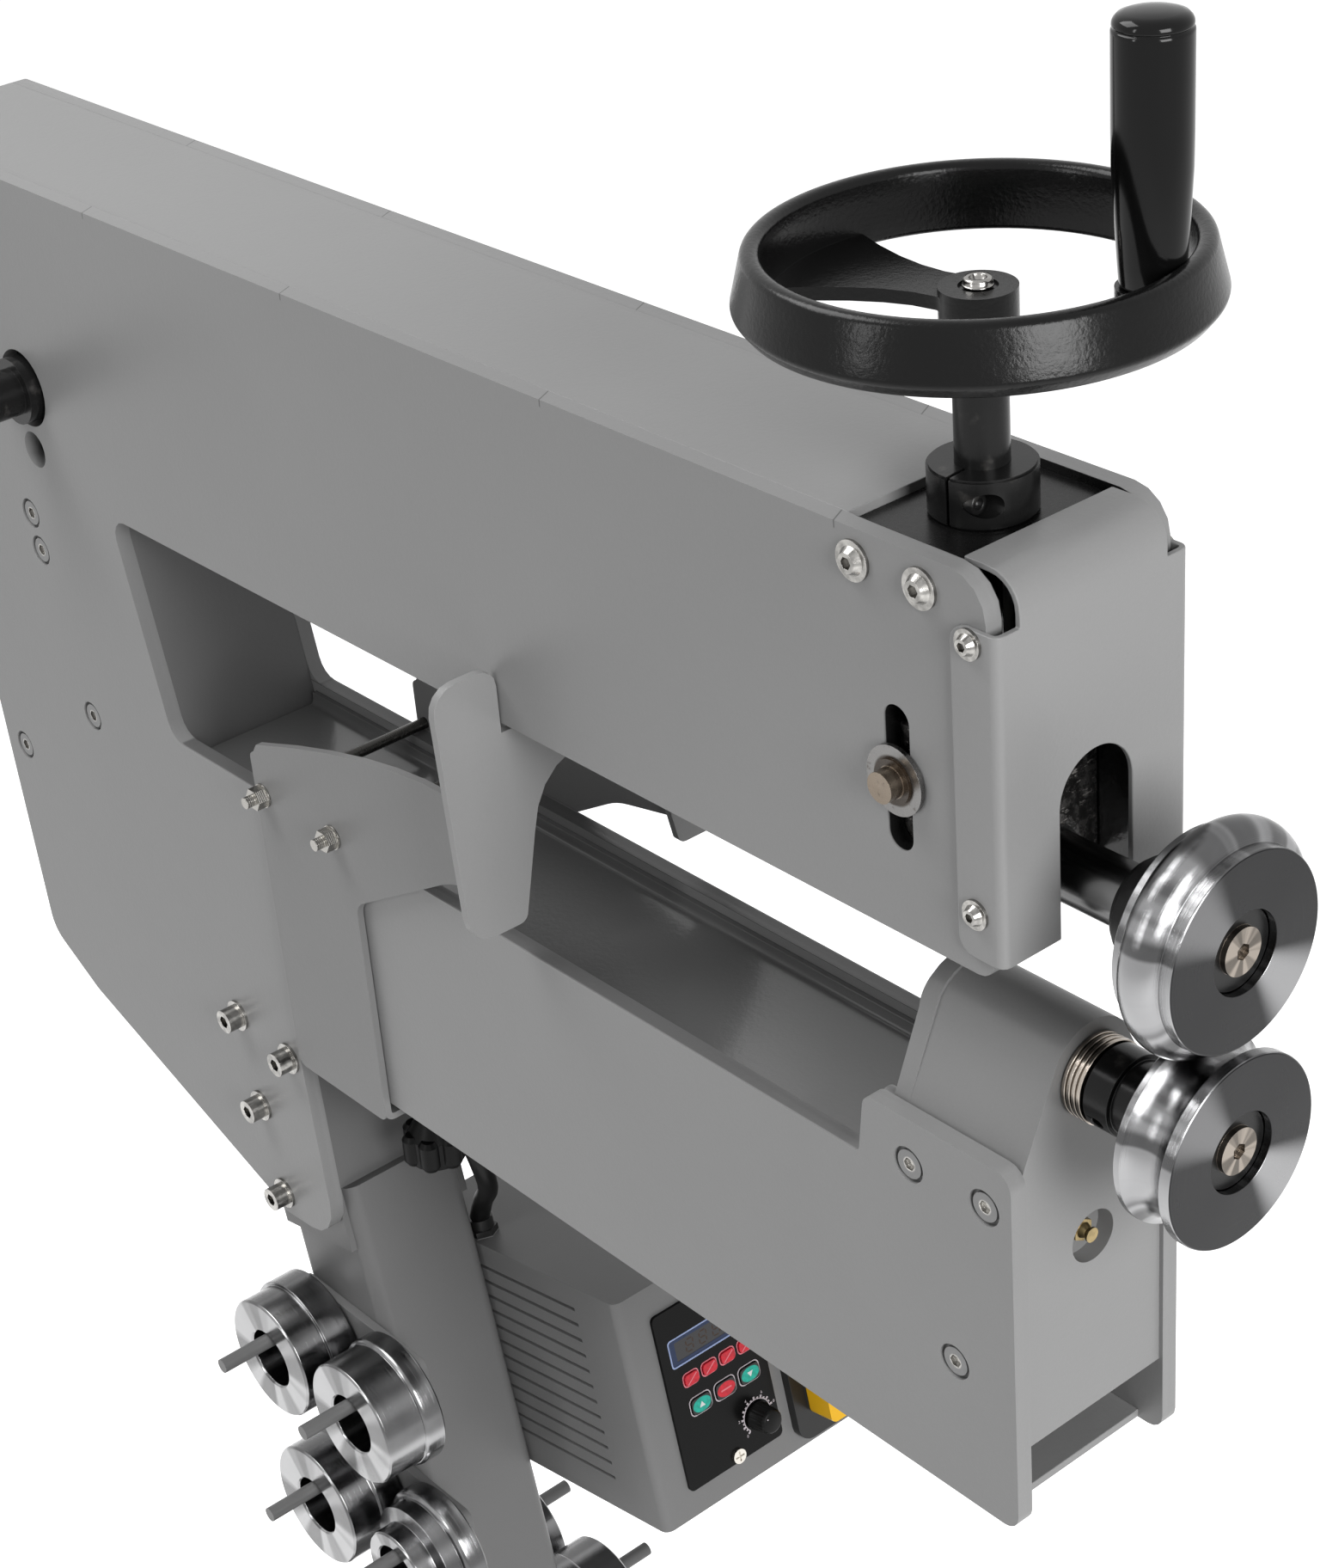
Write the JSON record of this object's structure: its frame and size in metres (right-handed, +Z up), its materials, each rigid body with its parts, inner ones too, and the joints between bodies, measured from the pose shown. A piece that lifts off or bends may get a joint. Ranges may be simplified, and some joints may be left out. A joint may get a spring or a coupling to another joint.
{
  "type": "powered bead roller",
  "caption": "Floor standing bead roller: two C shaped side plates on a leaning column, forming rolls, handwheel press screw, sliding fence and speed control box.",
  "frame": {"origin": "middle of the floor plate's footprint, on the floor", "axes": "+X forward to the forming rolls, +Y to the side of the control box, +Z up"},
  "size_m": [0.8654, 0.45, 1.4193],
  "materials": {
    "frame_paint": "satin powder coat",
    "rack_paint": "satin powder coat",
    "zinc_steel": "bright plated",
    "black_steel": "black oxide",
    "brass": "plain",
    "warm_steel": "turned and greased",
    "dark_iron": "machined, greased",
    "ground_steel": "ground",
    "polished_steel": "turned and polished",
    "screw_steel": "turned",
    "wheel_black": "black semi gloss",
    "grip_black": "gloss",
    "knob_black": "moulded",
    "panel_black": "printed film",
    "switch_yellow": "moulded",
    "red_key": "moulded",
    "teal_key": "moulded",
    "green_key": "moulded",
    "cable_black": "matt sheath"
  },
  "bodies": {
    "frame": {"stand_base": "frame_paint", "column": "frame_paint", "side_plate_near": "frame_paint", "side_plate_far": "frame_paint", "frame_cover": "frame_paint", "throat_lining": "frame_paint", "trough_lining": "frame_paint", "lower_cross_plate": "frame_paint", "frame_screws": "zinc_steel", "lifting_bar": "black_steel", "head_cover": "frame_paint", "head_plate": "black_steel", "roll_racks": "rack_paint", "rack_pins": "rack_paint", "lower_head_cap": "frame_paint", "head_end_plate": "frame_paint", "lower_bush": "warm_steel", "grease_nipple": "brass", "control_box": "frame_paint", "controller_plate": "panel_black", "switch_housing": "switch_yellow", "cable": "cable_black"},
    "wheel": {"handwheel": "wheel_black", "spindle": "black_steel", "split_collar": "black_steel", "wheel_screws": "zinc_steel"},
    "grip": {"hand_grip": "grip_black"},
    "carriage": {"carrier": "dark_iron", "cross_pin": "warm_steel"},
    "upper_spindle": {"upper_shaft": "ground_steel", "upper_hub": "black_steel", "upper_roll": "polished_steel", "upper_roll_screw": "screw_steel"},
    "lower_spindle": {"lower_shaft": "ground_steel", "lower_hub": "black_steel", "lower_roll": "polished_steel", "lower_roll_screw": "screw_steel"},
    "fence": {"gusset_near": "frame_paint", "gusset_far": "frame_paint", "stop_plate": "frame_paint", "fence_rods": "zinc_steel"},
    "clamp_knob": {"star_knob": "knob_black"},
    "dial": {"speed_knob": "knob_black"},
    "key_1_body": {"key_1": "red_key"},
    "key_2_body": {"key_2": "red_key"},
    "key_3_body": {"key_3": "red_key"},
    "key_4_body": {"key_4": "red_key"},
    "key_up_body": {"key_up": "teal_key"},
    "key_run_body": {"key_run": "red_key"},
    "key_down_body": {"key_down": "teal_key"},
    "start_button_body": {"start_button": "green_key"},
    "stop_button_body": {"stop_button": "red_key"},
    "spare_1": {"stored_roll_1": "polished_steel"},
    "spare_2": {"stored_roll_2": "polished_steel"},
    "spare_3": {"stored_roll_3": "polished_steel"},
    "spare_4": {"stored_roll_4": "polished_steel"},
    "spare_5": {"stored_roll_5": "polished_steel"},
    "spare_6": {"stored_roll_6": "polished_steel"}
  },
  "joints": [
    {"name": "press_slide", "type": "slide", "parent": "frame", "child": "carriage", "axis": [0, 0, 1], "range_m": [-0.006, 0.018]},
    {"name": "wheel_turn", "type": "hinge", "parent": "frame", "child": "wheel", "pos_m": [0.345, 0, 1.3], "axis": [0, 0, 1], "range_deg": [-541, 1621]},
    {"name": "grip_turn", "type": "hinge", "parent": "wheel", "child": "grip", "pos_m": [0.4042, 0.02155, 1.37], "axis": [0, 0, 1], "continuous": true},
    {"name": "upper_roll_turn", "type": "hinge", "parent": "carriage", "child": "upper_spindle", "pos_m": [0.42, 0, 1.1031], "axis": [1, 0, 0], "continuous": true},
    {"name": "lower_roll_turn", "type": "hinge", "parent": "frame", "child": "lower_spindle", "pos_m": [0.42, 0, 1.0176], "axis": [1, 0, 0], "continuous": true},
    {"name": "fence_slide", "type": "slide", "parent": "frame", "child": "fence", "axis": [1, 0, 0], "range_m": [0, 0.2]},
    {"name": "clamp_turn", "type": "hinge", "parent": "fence", "child": "clamp_knob", "pos_m": [-0.064, 0, 0.75], "axis": [0, 0, 1], "range_deg": [-180, 180]},
    {"name": "speed_turn", "type": "hinge", "parent": "frame", "child": "dial", "pos_m": [0.05519, 0.106, 0.57486], "axis": [0.9808, 0, 0.1949], "range_deg": [-135, 135]},
    {"name": "key_1_press", "type": "slide", "parent": "frame", "child": "key_1_body", "axis": [0.9808, 0, 0.1949], "range_m": [-0.001, 0], "stiffness_N_per_m": 300, "springref_m": 0.001},
    {"name": "key_2_press", "type": "slide", "parent": "frame", "child": "key_2_body", "axis": [0.9808, 0, 0.1949], "range_m": [-0.001, 0], "stiffness_N_per_m": 300, "springref_m": 0.001},
    {"name": "key_3_press", "type": "slide", "parent": "frame", "child": "key_3_body", "axis": [0.9808, 0, 0.1949], "range_m": [-0.001, 0], "stiffness_N_per_m": 300, "springref_m": 0.001},
    {"name": "key_4_press", "type": "slide", "parent": "frame", "child": "key_4_body", "axis": [0.9808, 0, 0.1949], "range_m": [-0.001, 0], "stiffness_N_per_m": 300, "springref_m": 0.001},
    {"name": "key_up_press", "type": "slide", "parent": "frame", "child": "key_up_body", "axis": [0.9808, 0, 0.1949], "range_m": [-0.001, 0], "stiffness_N_per_m": 300, "springref_m": 0.001},
    {"name": "key_run_press", "type": "slide", "parent": "frame", "child": "key_run_body", "axis": [0.9808, 0, 0.1949], "range_m": [-0.001, 0], "stiffness_N_per_m": 300, "springref_m": 0.001},
    {"name": "key_down_press", "type": "slide", "parent": "frame", "child": "key_down_body", "axis": [0.9808, 0, 0.1949], "range_m": [-0.001, 0], "stiffness_N_per_m": 300, "springref_m": 0.001},
    {"name": "start_button_press", "type": "slide", "parent": "frame", "child": "start_button_body", "axis": [0.9808, 0, 0.1949], "range_m": [-0.003, 0], "stiffness_N_per_m": 400, "springref_m": 0.001},
    {"name": "stop_button_press", "type": "slide", "parent": "frame", "child": "stop_button_body", "axis": [0.9808, 0, 0.1949], "range_m": [-0.003, 0], "stiffness_N_per_m": 400, "springref_m": 0.001},
    {"name": "spare_1_slide", "type": "slide", "parent": "frame", "child": "spare_1", "axis": [0, -1, 0], "range_m": [0, 0.075]},
    {"name": "spare_2_slide", "type": "slide", "parent": "frame", "child": "spare_2", "axis": [0, -1, 0], "range_m": [0, 0.075]},
    {"name": "spare_3_slide", "type": "slide", "parent": "frame", "child": "spare_3", "axis": [0, -1, 0], "range_m": [0, 0.075]},
    {"name": "spare_4_slide", "type": "slide", "parent": "frame", "child": "spare_4", "axis": [0, -1, 0], "range_m": [0, 0.075]},
    {"name": "spare_5_slide", "type": "slide", "parent": "frame", "child": "spare_5", "axis": [0, 1, 0], "range_m": [0, 0.075]},
    {"name": "spare_6_slide", "type": "slide", "parent": "frame", "child": "spare_6", "axis": [0, 1, 0], "range_m": [0, 0.075]}
  ],
  "couplings": [
    {"joint": "wheel_turn", "follows": "press_slide", "rad_per_m": 1570.8}
  ]
}
